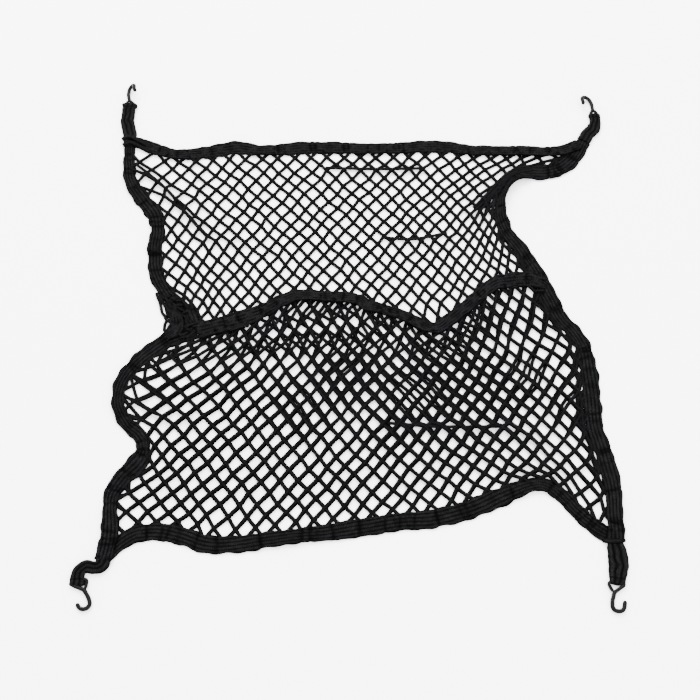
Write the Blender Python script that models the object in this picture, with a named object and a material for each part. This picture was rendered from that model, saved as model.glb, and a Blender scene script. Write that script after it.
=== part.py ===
"""Cargo net for a car boot: an envelope net lying relaxed and flat on a surface.

A back net fills the frame of four knitted elastic bands. A shorter front net is sewn
to the same side and bottom bands, and its free upper edge is the mouth band, so the
two nets form a wide pocket. A folded strap at each corner holds a bent wire hook.

Metres, +Z up, the surface at Z = 0. The tables are in millimetres and degrees.
"""
import math

import bmesh
import bpy
from mathutils import Matrix, Vector

MM = 0.001
MIDDLE = (-1.2, -2.9, 0.0)  # middle of the whole outline in the tables, put at the origin

# ---------------------------------------------------------------- driving sizes (mm)
BAND_THICK = 2.4          # knitted elastic band, between its lengthwise cords
CORD_RISE = 0.5           # how far each lengthwise cord stands above the band
BAND_CORDS = 3            # cords along a band's upper face
SECTION_STEP = 16.0       # greatest distance between two sections of a band
EDGE_STEPS = 12           # steps between two table rows where a net follows a band

NET_COLUMNS = 12          # meshes across both nets, at about twice the real pitch
BACK_ROWS = 12            # meshes down the whole back net
FRONT_ROWS = 6            # meshes down the pocket
MOST_MESHES = 300         # only the widest meshes of both nets are cut through
BORDER_STEPS = 4          # straight steps of the net's border along one mesh
BORDER_GAP = 1.3          # between a band's edge and the net's border
NET_THICK = 1.8
BACK_CORD = 4.4           # width of a back cord
FRONT_CORD = 5.2          # the pocket is knitted of a heavier cord
BACK_HEIGHT = 1.4         # middle of the back net above the surface
FRONT_HEIGHT = 4.4        # middle of the front net above the surface
LEAST_OPENING = 4.0       # a mesh that is narrower than this always stays closed
RELAX_ROUNDS = 120        # times that each knot settles between its neighbours
LEAST_INSIDE = 11.0       # least distance of a loose knot from the side borders
GUARDED = 3               # how many columns of knots keep that distance
SHARPEST = 0.05           # a mesh with a corner sharper than this stays closed

STRAP_ROUND = ((3.0, 1.0, 1.0), (1.2, 0.98, 0.86), (0.0, 0.9, 0.5))  # back, width, height
STRAP_STEP = 9.0          # greatest distance between two sections of a strap
STRAP_SEAM = 0.8          # depth of the groove between a strap's two layers
STRAP_SIDE = (0.25, 0.5, 0.72)    # heights of lower layer, groove and upper layer
STRAP_TOP = 0.88          # width of a strap's corded face over the whole width
WIRE = 3.2                # coated wire of the hooks
WIRE_SIDES = 8
BEND_STEP = math.radians(32)      # greatest turn between two sections of the wire
WIRE_CLEAR = 0.35         # room between the wire and the strap around it
HOOK_DROP = 1.6           # how much lower the hook's bend lies than its crossbar
HOOK_BAR_HEIGHT = 3.2     # middle of the crossbar above the surface

# ------------------------------------------------------------------- bands (mm, deg)
# x and y follow the middle of the band, width is its real width, roll turns it about
# its length (positive lifts the side on the left of the direction of travel), and
# lift is the height of its lowest edge above the surface.
BAND_COLUMNS = ("x", "y", "width", "roll", "lift")

TOP_BAND = (                                # from the left corner to the right one
    (-308, 273, 15, 0, 0),
    (-292, 273, 15, 0, 0),
    (-265, 261, 18, -6, 0),
    (-240, 253, 17, -10, 0),
    (-209, 255, 18, 0, 0),
    (-172, 263, 19, 8, 0),
    (-127, 259, 17, -10, 0),
    (-95, 261, 19, 0, 0),
    (-50, 264, 19, 0, 0),
    (22, 262, 18, -8, 0),
    (85, 266, 19, 0, 0),
    (114, 265, 18, 0, 0),
    (150, 259, 17, -10, 0),
    (211, 259, 17, -10, 0),
    (243, 257, 15, -6, 2.0),
    (266, 259, 15, 0, 3.5),
    (284, 268, 15, 0, 3.5),
)

LEFT_BAND = (                               # from the top corner to the bottom one
    (-300.5, 264.3, 14, 0, 0),
    (-299, 232, 15, -14, 0),
    (-296, 208, 17, -10, 0),
    (-278, 177, 21, 0, 0),
    (-262, 154, 20, 0, 0),
    (-256, 130, 17, -10, 0),
    (-257, 110, 16, -14, 0),
    (-257, 90, 18, 0, 0),
    (-255, 72, 18, 0, 0),
    (-249, 54, 18, 0, 0),
    (-238, 38, 19, 0, 0),
    (-224, 23, 21, 0, 0),
    (-213, 9, 23, 0, 0),
    (-208.5, -6, 24, 0, 0),
    (-216, -19, 22, 0, 0),
    (-231, -28, 20, 0, 0),
    (-246, -37, 19, 0, 0),
    (-261, -50, 18, -8, 0),
    (-277, -68, 16, -16, 0),
    (-287, -88, 15, -20, 0),
    (-287, -116, 15, -16, 0),
    (-273, -140, 16, 0, 0),
    (-258, -154, 17, 0, 0),
    (-252, -171, 16, 0, 0),
    (-258, -192, 18, 0, 0),
    (-272, -213, 18, 0, 0),
    (-284, -231, 17, 0, 0),
    (-285, -250, 17, 0, 2.0),
    (-282, -274, 20, 0, 3.5),
    (-286.5, -310, 18, 0, 3.5),
)

RIGHT_BAND = (                              # from the top corner to the bottom one
    (291.5, 274.5, 17, 0, 0),
    (283, 257, 18, 0, 0),
    (271, 242, 20, 0, 0),
    (256, 230, 21, 0, 0),
    (238, 224, 21, 0, 0),
    (218, 223, 21, 6, 0),
    (203, 216, 18, 24, 0),
    (191, 203, 14, 46, 0),
    (182, 186, 13, 50, 0),
    (178, 167, 15, 34, 0),
    (178, 150, 16, 14, 0),
    (184, 130, 17, 0, 0),
    (194, 114, 18, 0, 0),
    (207, 92, 18, 0, 0),
    (219, 67, 18, 0, 0),
    (233, 30, 19, 0, 0),
    (242, 4, 17, 8, 0),
    (257, -15, 16, 10, 0),
    (267, -38, 18, 0, 0),
    (271, -76, 20, 0, 0),
    (271, -115, 20, 0, 0),
    (272, -147, 19, 0, 0),
    (279, -178, 20, 0, 0),
    (284, -205, 20, 0, 0),
    (285.5, -232, 18, 0, 1.6),
    (284, -256, 18, 0, 3.5),
    (282.5, -287, 20, 0, 3.5),
)

BOTTOM_BAND = (                             # from the left corner to the right one
    (-284, -303, 16, 0, 0),
    (-273, -291, 17, 0, 0),
    (-260, -281, 19, 0, 0),
    (-244, -276, 20, 0, 0),
    (-222, -275, 21, 0, 0),
    (-201, -280, 21, 0, 0),
    (-175, -289, 21, 0, 0),
    (-142, -290, 20, 0, 0),
    (-107, -285, 19, -4, 0),
    (-71, -280, 18, -6, 0),
    (-14, -272, 21, 0, 0),
    (34, -264, 21, 0, 0),
    (84, -258, 22, 0, 0),
    (120, -248, 22, 0, 0),
    (158, -232, 22, 0, 0),
    (189, -219, 18, -8, 0),
    (209, -219, 17, -8, 0),
    (227, -231, 17, 0, 0),
    (243, -250, 17, 0, 0),
    (259, -267, 18, 0, 0),
    (275, -276, 19, 0, 0),
)

MOUTH_BAND = (                              # over the back net, left side to right side
    (-198, -15, 24, 0, 3.5),
    (-181, -10, 23, 0, 3.5),
    (-164, -5, 22, 0, 3.5),
    (-147, 2, 22, 0, 3.5),
    (-129, 9, 20, 0, 3.5),
    (-111, 18, 18, 0, 3.5),
    (-95, 28, 17, -6, 3.5),
    (-78, 35, 16, -8, 3.5),
    (-57, 34, 16, -8, 3.5),
    (-8, 30, 16, -8, 3.5),
    (7, 21, 16, -8, 3.5),
    (38, 11, 15, -8, 3.5),
    (55, 4, 15, -8, 3.5),
    (72, -7, 15, -8, 3.5),
    (90, -11, 15, 0, 3.5),
    (106, 0, 16, 0, 3.5),
    (125, 17, 16, 0, 3.5),
    (145, 36, 17, 0, 3.5),
    (163, 52, 18, 0, 3.5),
    (182, 57, 20, 0, 3.5),
    (212, 57, 21, 0, 3.5),
)

# -------------------------------------------------------------- nets: corners, creases
BACK_CORNERS = {"top_left": (-291.5, 262), "top_right": (262, 248.5),
                "bottom_left": (-268, -272), "bottom_right": (272, -260)}
FRONT_CORNERS = {"top_left": (-200, -31), "top_right": (214, 44),
                 "bottom_left": (-268, -272), "bottom_right": (272, -260)}

# A crease runs from x0, y0 to x1, y1, stands rise above the net and fades over reach.
CREASE_COLUMNS = ("x0", "y0", "x1", "y1", "rise", "reach")
BACK_CREASES = (
    (-272, 232, -200, 148, 4.0, 24),
    (-45, 236, 90, 222, 3.0, 22),
    (60, 120, 112, 124, 3.5, 24),
    (112, 124, 172, 190, 5.0, 24),
)
FRONT_CREASES = (
    (-250, -120, -120, -150, 3.0, 30),
    (-30, -40, 40, -170, 3.5, 34),
    (120, -110, 240, -140, 3.0, 30),
)

# ---------------------------------------------------------------- corner straps (mm)
# x and y follow the middle of the strap from its root to its end.
STRAP_COLUMNS = ("x", "y", "width", "height")
STRAPS = {
    "top_left": (
        (-301.4, 282, 16, 5.4),
        (-302.2, 289.5, 16, 5.4),
        (-306, 304, 16, 5.6),
        (-306.5, 317, 16, 6.0),
        (-306, 329, 17.4, 6.8),
        (-305.6, 336.5, 17.4, 6.8),
    ),
    "top_right": (
        (292, 275.7, 17, 5.4),
        (298, 286, 17, 5.4),
        (306.5, 296, 17, 5.6),
        (310.5, 307, 15.4, 6.4),
        (310.6, 319, 14, 6.8),
    ),
    "bottom_left": (
        (-286.6, -310.7, 16, 6.0),
        (-287.1, -314, 14.4, 6.0),
        (-290.8, -317.8, 12.6, 6.4),
        (-297.4, -318.8, 12, 6.8),
        (-304.4, -317.2, 12, 6.8),
        (-310.6, -320.8, 12.4, 6.8),
        (-313.4, -328.8, 13.6, 6.6),
        (-313.4, -338, 15, 6.4),
    ),
    "bottom_right": (
        (281.8, -288.1, 16, 6.0),
        (282, -296, 19.4, 5.8),
        (282.8, -310, 20, 5.6),
        (281.4, -323, 18.4, 6.0),
        (280, -332, 15, 6.4),
        (279, -338.2, 13, 6.4),
    ),
}

# ------------------------------------------------------------------ wire hooks (mm)
# The wire's middle line, flat: x across the hook, y from the crossbar to the bend.
HOOK_COLUMNS = ("x", "y", "radius")
HOOK_WIRE = (
    (8.3, 20.4, 0),         # free tip
    (4.8, 32.8, 5.4),       # bend
    (-5.4, 32.8, 5.4),      # bend
    (-5.2, 23.0, 12),       # stem
    (-2.8, 12.0, 4),        # where the eye begins
    (8.3, 3.5, 2.1),        # shoulder
    (8.3, 0, 2.4),          # end of the crossbar
    (-8.3, 0, 2.4),         # end of the crossbar
    (-8.3, 3.5, 2.1),       # shoulder
    (-6.1, 8.4, 0),         # the wire's end closes the eye against the stem
)
STEM_X = -5.4               # the stem, about which the bend is twisted
TWIST_FROM = 11.0           # the stem is twisted between these two places
TWIST_TO = 24.0

# Middle of the crossbar, direction of the stem (from +X), side that faces up, twist.
HOOK_PLACES = {
    "top_left": {"x": -305.2, "y": 329, "heading": 87, "flip": True, "twist": 56},
    "top_right": {"x": 309.8, "y": 312, "heading": 110, "flip": False, "twist": 0},
    "bottom_left": {"x": -311.6, "y": -335.2, "heading": -73, "flip": True, "twist": 0},
    "bottom_right": {"x": 278.6, "y": -335, "heading": -92, "flip": False, "twist": 0},
}

# ------------------------------------------------------------------------- materials
MATERIALS = {
    "black_band": {"color": (0.018, 0.018, 0.019), "roughness": 0.85, "metallic": 0.0},
    "black_cord": {"color": (0.014, 0.014, 0.015), "roughness": 0.8, "metallic": 0.0},
    "black_wire": {"color": (0.02, 0.02, 0.021), "roughness": 0.32, "metallic": 0.6},
}


def clear_scene():
    """Remove whatever the scene holds."""
    for thing in list(bpy.data.objects):
        bpy.data.objects.remove(thing, do_unlink=True)


def material(name):
    """Return the named material, made from its row in MATERIALS."""
    found = bpy.data.materials.get(name)
    if found:
        return found
    look = MATERIALS[name]
    made = bpy.data.materials.new(name)
    made.use_nodes = True
    shader = made.node_tree.nodes["Principled BSDF"]
    shader.inputs["Base Color"].default_value = (*look["color"], 1.0)
    shader.inputs["Roughness"].default_value = look["roughness"]
    shader.inputs["Metallic"].default_value = look["metallic"]
    return made


def add_object(name, bm, material_name, smooth=True):
    """Turn a bmesh in millimetres into a named object in metres, about the origin."""
    bmesh.ops.recalc_face_normals(bm, faces=bm.faces)
    bmesh.ops.translate(bm, vec=-Vector(MIDDLE), verts=bm.verts)
    bmesh.ops.scale(bm, vec=(MM, MM, MM), verts=bm.verts)
    mesh = bpy.data.meshes.new(name)
    bm.to_mesh(mesh)
    bm.free()
    for face in mesh.polygons:
        face.use_smooth = smooth
    mesh.materials.append(material(material_name))
    made = bpy.data.objects.new(name, mesh)
    bpy.context.collection.objects.link(made)
    return made


# ---------------------------------------------------------------- curves from tables
def smooth_point(a, b, c, d, t):
    """Catmull-Rom point between b and c, t from 0 to 1."""
    return 0.5 * (2 * b + (c - a) * t + (2 * a - 5 * b + 4 * c - d) * t * t
                  + (3 * b - a - 3 * c + d) * t ** 3)


def table_curve(table, columns, steps_for):
    """Read a table as a smooth curve: a list of rows (dictionaries) along it.

    x and y run through the table's points on a smooth curve, and the other columns
    change evenly between rows. steps_for gives the number of steps for a length.
    """
    points = [Vector((row[0], row[1])) for row in table]
    ends = [2 * points[0] - points[1], 2 * points[-1] - points[-2]]
    around = [ends[0], *points, ends[1]]
    curve = []
    for i in range(len(points) - 1):
        steps = steps_for((points[i + 1] - points[i]).length)
        for step in range(steps):
            t = step / steps
            point = smooth_point(*around[i:i + 4], t)
            rest = [a + (b - a) * t for a, b in zip(table[i][2:], table[i + 1][2:])]
            curve.append(dict(zip(columns, (point.x, point.y, *rest))))
    curve.append(dict(zip(columns, table[-1])))
    for i, row in enumerate(curve):
        before = curve[max(i - 1, 0)]
        after = curve[min(i + 1, len(curve) - 1)]
        along = Vector((after["x"] - before["x"], after["y"] - before["y"]))
        row["along"] = along.normalized()
    first, second = points[0], points[1]
    curve[0]["along"] = (second - first).normalized()
    curve[-1]["along"] = (points[-1] - points[-2]).normalized()
    return curve


def loft(bm, sections):
    """Join rings of equal length with faces and cap both ends."""
    rings = [[bm.verts.new(point) for point in section] for section in sections]
    for one, two in zip(rings, rings[1:]):
        for k in range(len(one)):
            nxt = (k + 1) % len(one)
            bm.faces.new((one[k], one[nxt], two[nxt], two[k]))
    bm.faces.new(reversed(rings[0]))
    bm.faces.new(rings[-1])


# -------------------------------------------------------------------------- bands
def band_outline(width):
    """Cross-section of a band: flat below, lengthwise cords raised above."""
    points = [(-width / 2, 0.0)]
    steps = 2 * BAND_CORDS
    for k in range(steps + 1):
        across = -width / 2 + width * k / steps
        rise = CORD_RISE if k % 2 else 0.0
        points.append((across, BAND_THICK + rise))
    points.append((width / 2, 0.0))
    return points


def band_section(row):
    """Place the outline across the band at one row of its curve."""
    roll = math.radians(row["roll"])
    left = Vector((-row["along"].y, row["along"].x, 0.0))
    across = left * math.cos(roll) + Vector((0, 0, math.sin(roll)))
    up = Vector((0, 0, math.cos(roll))) - left * math.sin(roll)
    base = max(row["lift"], 0.0) + row["width"] / 2 * abs(math.sin(roll))
    middle = Vector((row["x"], row["y"], base))
    return [middle + across * a + up * b for a, b in band_outline(row["width"])]


def make_band(name, table):
    """One elastic band along its table."""
    curve = table_curve(table, BAND_COLUMNS,
                        lambda length: math.ceil(length / SECTION_STEP))
    bm = bmesh.new()
    loft(bm, [band_section(row) for row in curve])
    add_object(name, bm, "black_band")


def band_edge(table, side):
    """Points along one edge of a band, kept BORDER_GAP away (side 1 left, -1 right)."""
    edge = []
    for row in table_curve(table, BAND_COLUMNS, lambda length: EDGE_STEPS):
        left = Vector((-row["along"].y, row["along"].x))
        roll = math.radians(row["roll"])
        lean = (BAND_THICK + CORD_RISE) * max(0.0, -side * math.sin(roll))
        reach = row["width"] / 2 * math.cos(roll) + lean + BORDER_GAP
        edge.append(Vector((row["x"], row["y"])) + left * side * reach)
    return edge


# --------------------------------------------------------------------------- nets
def border_between(edge, start, end, openings):
    """Part of an edge from corner to corner, in BORDER_STEPS even steps an opening."""
    start, end = Vector(start), Vector(end)
    first = min(range(len(edge)), key=lambda k: (edge[k] - start).length)
    last = min(range(len(edge)), key=lambda k: (edge[k] - end).length)
    line = [start, *edge[first + 2:last - 1], end]
    lengths = [0.0]
    for a, b in zip(line, line[1:]):
        lengths.append(lengths[-1] + (b - a).length)
    steps = openings * BORDER_STEPS
    border = []
    k = 0
    for step in range(steps + 1):
        wanted = lengths[-1] * step / steps
        while k < len(line) - 2 and lengths[k + 1] < wanted:
            k += 1
        part = (wanted - lengths[k]) / (lengths[k + 1] - lengths[k])
        border.append(line[k].lerp(line[k + 1], min(part, 1.0)))
    return border


def relaxed_knots(borders, columns, rows):
    """Places of the knots (i, j), i + j even, of a slack diamond net.

    The knots on the four borders are held, and every other knot settles at the mean
    of its four neighbours.
    """
    top, bottom, left, right = (borders[side] for side in ("top", "bottom", "left", "right"))
    wide, deep = 2 * columns, 2 * rows
    knots = {}
    for i in range(wide + 1):
        for j in range(i % 2, deep + 1, 2):
            u, v = i / wide, j / deep
            side_i, side_j = i * BORDER_STEPS // 2, j * BORDER_STEPS // 2
            across = left[side_j].lerp(right[side_j], u)
            down = top[side_i].lerp(bottom[side_i], v)
            level = top[0].lerp(top[-1], u).lerp(bottom[0].lerp(bottom[-1], u), v)
            knots[i, j] = across + down - level
    for j in range(0, deep + 1, 2):
        knots[0, j] = left[j * BORDER_STEPS // 2]
        knots[wide, j] = right[j * BORDER_STEPS // 2]
    for i in range(0, wide + 1, 2):
        knots[i, 0] = top[i * BORDER_STEPS // 2]
        knots[i, deep] = bottom[i * BORDER_STEPS // 2]
    inner = [(i, j) for i, j in knots if 0 < i < wide and 0 < j < deep]
    for _ in range(RELAX_ROUNDS):
        for i, j in inner:
            knots[i, j] = (knots[i - 1, j - 1] + knots[i + 1, j - 1]
                           + knots[i - 1, j + 1] + knots[i + 1, j + 1]) / 4
            if i < GUARDED:
                knots[i, j] = kept_inside(knots[i, j], left, 1)
            elif i > wide - GUARDED:
                knots[i, j] = kept_inside(knots[i, j], right, -1)
    return knots


def kept_inside(knot, border, side):
    """Move a knot that is too near a side border, or beyond it, back into the net."""
    best = None
    for a, b in zip(border, border[1:]):
        line = b - a
        part = max(0.0, min(1.0, (knot - a).dot(line) / line.length_squared))
        foot = a + line * part
        if best is None or (knot - foot).length < (knot - best[0]).length:
            best = foot, line.normalized()
    foot, along = best
    inward = Vector((-along.y, along.x)) * side
    depth = (knot - foot).dot(inward)
    if depth >= LEAST_INSIDE:
        return knot
    return knot + inward * (LEAST_INSIDE - depth)


def net_cells(knots, borders, columns, rows):
    """Meshes of the net as rings of points, keyed by their middle (i, j)."""
    wide, deep = 2 * columns, 2 * rows
    cells = {}
    for i in range(wide + 1):
        for j in range(1 - i % 2, deep + 1, 2):
            corners = []
            if j > 0:
                corners.append([knots[i, j - 1]])
            else:
                corners.append(border_run(borders["top"], i))
            if i < wide:
                corners.append([knots[i + 1, j]])
            else:
                corners.append(border_run(borders["right"], j))
            if j < deep:
                corners.append([knots[i, j + 1]])
            else:
                corners.append(border_run(borders["bottom"], i)[::-1])
            if i > 0:
                corners.append([knots[i - 1, j]])
            else:
                corners.append(border_run(borders["left"], j)[::-1])
            cells[i, j] = [point for run in corners for point in run]
    return cells


def border_run(border, index):
    """Points of a border between the two knots beside the mesh at index."""
    start = (index - 1) * BORDER_STEPS // 2
    return border[start + 1:start + BORDER_STEPS]


def inset_ring(ring, distance):
    """Move every side of a clockwise ring inward, or return None where none is left."""
    count = len(ring)
    moved = []
    for k in range(count):
        before = (ring[k] - ring[k - 1]).normalized()
        after = (ring[(k + 1) % count] - ring[k]).normalized()
        inward_a = Vector((before.y, -before.x))
        inward_b = Vector((after.y, -after.x))
        spread = 1.0 + inward_a.dot(inward_b)
        if spread < SHARPEST:
            return None
        moved.append(ring[k] + (inward_a + inward_b) * distance / spread)
    for k in range(count):
        side = ring[(k + 1) % count] - ring[k]
        new_side = moved[(k + 1) % count] - moved[k]
        if side.dot(new_side) <= 0:
            return None
    return moved


def widest_reach(ring):
    """Rough width of a ring: twice its area divided by half its outline."""
    area = 0.0
    outline = 0.0
    for a, b in zip(ring, ring[1:] + ring[:1]):
        area += a.x * b.y - b.x * a.y
        outline += (b - a).length
    return 2 * abs(area) / outline


def crease_height(creases, point):
    """Height that the creases add to the net at a point."""
    height = 0.0
    for values in creases:
        crease = dict(zip(CREASE_COLUMNS, values))
        start = Vector((crease["x0"], crease["y0"]))
        line = Vector((crease["x1"], crease["y1"])) - start
        part = max(0.0, min(1.0, (point - start).dot(line) / line.length_squared))
        away = (point - start - line * part).length / crease["reach"]
        height += crease["rise"] * math.exp(-away * away)
    return height


def net_meshes(borders, columns, rows, cord, stays_closed):
    """Every mesh of a net as its ring, the hole inside its cords, and the hole's width."""
    knots = relaxed_knots(borders, columns, rows)
    meshes = []
    for place, ring in net_cells(knots, borders, columns, rows).items():
        hole = None if stays_closed(*place) else inset_ring(ring, cord / 2)
        meshes.append((ring, hole, widest_reach(hole) if hole else 0.0))
    return meshes


def make_net(name, meshes, least, height, creases):
    """A knotted net as one solid, its meshes of at least that width cut through."""
    bm = bmesh.new()
    made = {}

    def vertex(point):
        key = (round(point.x, 4), round(point.y, 4))
        if key not in made:
            z = height + NET_THICK / 2 + crease_height(creases, point)
            made[key] = bm.verts.new((point.x, point.y, z))
        return made[key]

    for ring, hole, width in meshes:
        outer = [vertex(point) for point in ring]
        if width < least:
            bm.faces.new(outer)
            continue
        inner = [vertex(point) for point in hole]
        for k in range(len(ring)):
            nxt = (k + 1) % len(ring)
            bm.faces.new((outer[k], outer[nxt], inner[nxt], inner[k]))
    bmesh.ops.triangulate(bm, faces=bm.faces)
    lower = bmesh.ops.extrude_face_region(bm, geom=list(bm.faces))["geom"]
    moved = [item for item in lower if isinstance(item, bmesh.types.BMVert)]
    bmesh.ops.translate(bm, vec=(0, 0, -NET_THICK), verts=moved)
    add_object(name, bm, "black_cord", smooth=False)


def net_borders(upper, corners, rows):
    """The four borders of a net that hangs from upper and fills the frame below it."""
    left = band_edge(LEFT_BAND, 1)
    right = band_edge(RIGHT_BAND, -1)
    bottom = band_edge(BOTTOM_BAND, 1)
    return {
        "top": border_between(upper, corners["top_left"], corners["top_right"], NET_COLUMNS),
        "bottom": border_between(bottom, corners["bottom_left"], corners["bottom_right"],
                                 NET_COLUMNS),
        "left": border_between(left, corners["top_left"], corners["bottom_left"], rows),
        "right": border_between(right, corners["top_right"], corners["bottom_right"], rows),
    }


def make_nets():
    """The back net inside the four bands, and the front net below the mouth band."""
    back_borders = net_borders(band_edge(TOP_BAND, -1), BACK_CORNERS, BACK_ROWS)
    front_borders = net_borders(band_edge(MOUTH_BAND, -1), FRONT_CORNERS, FRONT_ROWS)
    back = net_meshes(back_borders, NET_COLUMNS, BACK_ROWS, BACK_CORD, behind_pocket)
    front = net_meshes(front_borders, NET_COLUMNS, FRONT_ROWS, FRONT_CORD,
                       lambda i, j: False)
    widths = sorted((width for _, _, width in back + front), reverse=True)
    least = max(widths[MOST_MESHES - 1], LEAST_OPENING)
    make_net("back_net", back, least, BACK_HEIGHT, BACK_CREASES)
    make_net("front_net", front, least, FRONT_HEIGHT, FRONT_CREASES)


def behind_pocket(i, j):
    """True where the back net, hidden by the pocket, keeps a mesh closed."""
    first_covered = 2 * (BACK_ROWS - FRONT_ROWS) + 1
    last_cut = 2 * BACK_ROWS - 2
    return j >= first_covered and (j % 2 == 1 or j > last_cut)


# ------------------------------------------------------------------- wire and straps
def rounded_line(corners):
    """Points of a line through corners (x, y, radius), each corner an arc."""
    points = [Vector(corners[0][:2])]
    for k in range(1, len(corners) - 1):
        corner = Vector(corners[k][:2])
        back = (Vector(corners[k - 1][:2]) - corner).normalized()
        ahead = (Vector(corners[k + 1][:2]) - corner).normalized()
        turn = math.pi - back.angle(ahead)
        radius = corners[k][2]
        reach = radius * math.tan(turn / 2)
        middle = corner + (back + ahead).normalized() * radius / math.cos(turn / 2)
        steps = max(1, round(turn / BEND_STEP))
        start = corner + back * reach - middle
        side = 1 if back.x * ahead.y - back.y * ahead.x < 0 else -1
        for step in range(steps + 1):
            swing = Matrix.Rotation(side * turn * step / steps, 2)
            points.append(middle + swing @ start)
    points.append(Vector(corners[-1][:2]))
    return points


def hook_line(place):
    """The wire's middle line, placed in the strap's loop."""
    heading = math.radians(place["heading"])
    ahead = Vector((math.cos(heading), math.sin(heading), 0.0))
    left = Vector((-ahead.y, ahead.x, 0.0))
    side = -1 if place["flip"] else 1
    bend = max(row[1] for row in HOOK_WIRE)
    line = []
    for point in rounded_line(HOOK_WIRE):
        part = (point.y - TWIST_FROM) / (TWIST_TO - TWIST_FROM)
        twist = math.radians(place["twist"]) * max(0.0, min(1.0, part))
        arm = point.x - STEM_X
        across = STEM_X + arm * math.cos(twist)
        rise = arm * math.sin(twist)
        z = HOOK_BAR_HEIGHT - HOOK_DROP * point.y / bend + rise
        flat = Vector((place["x"], place["y"], 0.0)) + ahead * point.y
        line.append(flat + left * side * across + Vector((0, 0, z)))
    return line


def tube(bm, line, radius, sides):
    """Sweep a round section along a line, carrying its frame without twist."""
    tangents = []
    for k in range(len(line)):
        after = line[min(k + 1, len(line) - 1)]
        before = line[max(k - 1, 0)]
        tangents.append((after - before).normalized())
    normal = Vector((0, 0, 1)).cross(tangents[0]).normalized()
    sections = []
    for point, tangent in zip(line, tangents):
        normal = (normal - tangent * normal.dot(tangent)).normalized()
        other = tangent.cross(normal)
        section = []
        for k in range(sides):
            angle = 2 * math.pi * (k + 0.5) / sides
            section.append(point + (normal * math.cos(angle)
                                    + other * math.sin(angle)) * radius)
        sections.append(section)
    loft(bm, sections)


def make_hook(corner, place):
    """One bent wire hook."""
    bm = bmesh.new()
    tube(bm, hook_line(place), WIRE / 2, WIRE_SIDES)
    add_object("hook_" + corner, bm, "black_wire")


def strap_section(row, wide, high):
    """Two sewn layers of strap: cords above, a seam groove along each side."""
    width, height = row["width"] * wide, row["height"] * high
    left = Vector((-row["along"].y, row["along"].x, 0.0))
    lower, groove, upper = (height * part for part in STRAP_SIDE)
    side, inner = width / 2, width / 2 - STRAP_SEAM
    outline = [(-inner, 0.0), (-side, lower), (-inner, groove), (-side, upper)]
    steps = 2 * BAND_CORDS
    for k in range(steps + 1):
        rise = height if k % 2 else height - CORD_RISE
        outline.append((width * STRAP_TOP * (k / steps - 0.5), rise))
    outline += [(side, upper), (inner, groove), (side, lower), (inner, 0.0)]
    sink = (row["height"] - height) / 2
    middle = Vector((row["x"], row["y"], sink))
    return [middle + left * a + Vector((0, 0, b)) for a, b in outline]


def make_strap(corner):
    """The corner's folded strap, with room for the wire that it holds."""
    curve = table_curve(STRAPS[corner], STRAP_COLUMNS,
                        lambda length: max(2, math.ceil(length / STRAP_STEP)))
    end = Vector((curve[-1]["x"], curve[-1]["y"]))
    sections = []
    for row in curve:
        if (Vector((row["x"], row["y"])) - end).length > STRAP_ROUND[0][0] + 1.0:
            sections.append(strap_section(row, 1.0, 1.0))
    for back, wide, high in STRAP_ROUND:
        row = dict(curve[-1])
        row["x"] -= row["along"].x * back
        row["y"] -= row["along"].y * back
        sections.append(strap_section(row, wide, high))
    bm = bmesh.new()
    loft(bm, sections)
    strap = add_object("strap_" + corner, bm, "black_band")
    bm = bmesh.new()
    tube(bm, hook_line(HOOK_PLACES[corner]), WIRE / 2 + WIRE_CLEAR, WIRE_SIDES)
    cutter = add_object("cutter_" + corner, bm, "black_wire")
    cutter.hide_render = True
    cutter.display_type = "WIRE"
    room = strap.modifiers.new("room for the wire", "BOOLEAN")
    room.operation = "DIFFERENCE"
    room.solver = "EXACT"
    room.use_self = True    # the widened wire meets itself where it closes the eye
    room.object = cutter


def main():
    """Build every piece of the net."""
    clear_scene()
    make_band("top_band", TOP_BAND)
    make_band("left_band", LEFT_BAND)
    make_band("right_band", RIGHT_BAND)
    make_band("bottom_band", BOTTOM_BAND)
    make_band("mouth_band", MOUTH_BAND)
    make_nets()
    for corner, place in HOOK_PLACES.items():
        make_strap(corner)
        make_hook(corner, place)


main()
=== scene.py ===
"""The look of a cargo net: knitted bands, two meshed nets, corner straps and wire hooks.

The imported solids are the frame. Every piece here stands for one of them, at its place.
Tables are in millimetres and degrees about the drawing's own origin; MIDDLE is the point
of the drawing that lies at the frame's origin.
"""

import math

import bpy
import numpy as np
from bpy.props import FloatProperty, FloatVectorProperty, PointerProperty
from bpy.types import Operator, Panel, PropertyGroup, Scene
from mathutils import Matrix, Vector


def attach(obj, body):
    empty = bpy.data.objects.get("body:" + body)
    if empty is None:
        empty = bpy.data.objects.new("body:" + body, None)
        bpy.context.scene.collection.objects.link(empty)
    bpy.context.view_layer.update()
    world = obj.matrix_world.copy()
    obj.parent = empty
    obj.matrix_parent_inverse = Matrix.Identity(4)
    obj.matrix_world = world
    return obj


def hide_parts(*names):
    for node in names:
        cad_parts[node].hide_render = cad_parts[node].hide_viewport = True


bl_info = {
    "name": "Cargo Net",
    "version": (1, 0, 0),
    "blender": (4, 5, 0),
    "location": "View3D > Sidebar > Cargo Net",
    "description": "Dresses a slack envelope net: bands, nets, straps, wire hooks and stage",
    "category": "Object",
}

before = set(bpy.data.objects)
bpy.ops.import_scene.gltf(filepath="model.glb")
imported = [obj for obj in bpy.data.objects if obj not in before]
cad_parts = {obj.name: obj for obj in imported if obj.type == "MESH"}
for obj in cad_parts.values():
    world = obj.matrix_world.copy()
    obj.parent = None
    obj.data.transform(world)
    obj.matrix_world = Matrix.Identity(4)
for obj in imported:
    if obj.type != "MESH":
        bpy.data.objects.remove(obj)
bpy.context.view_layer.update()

MM = 0.001
MIDDLE = np.array([-1.2, -2.9, 0.0])

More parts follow.
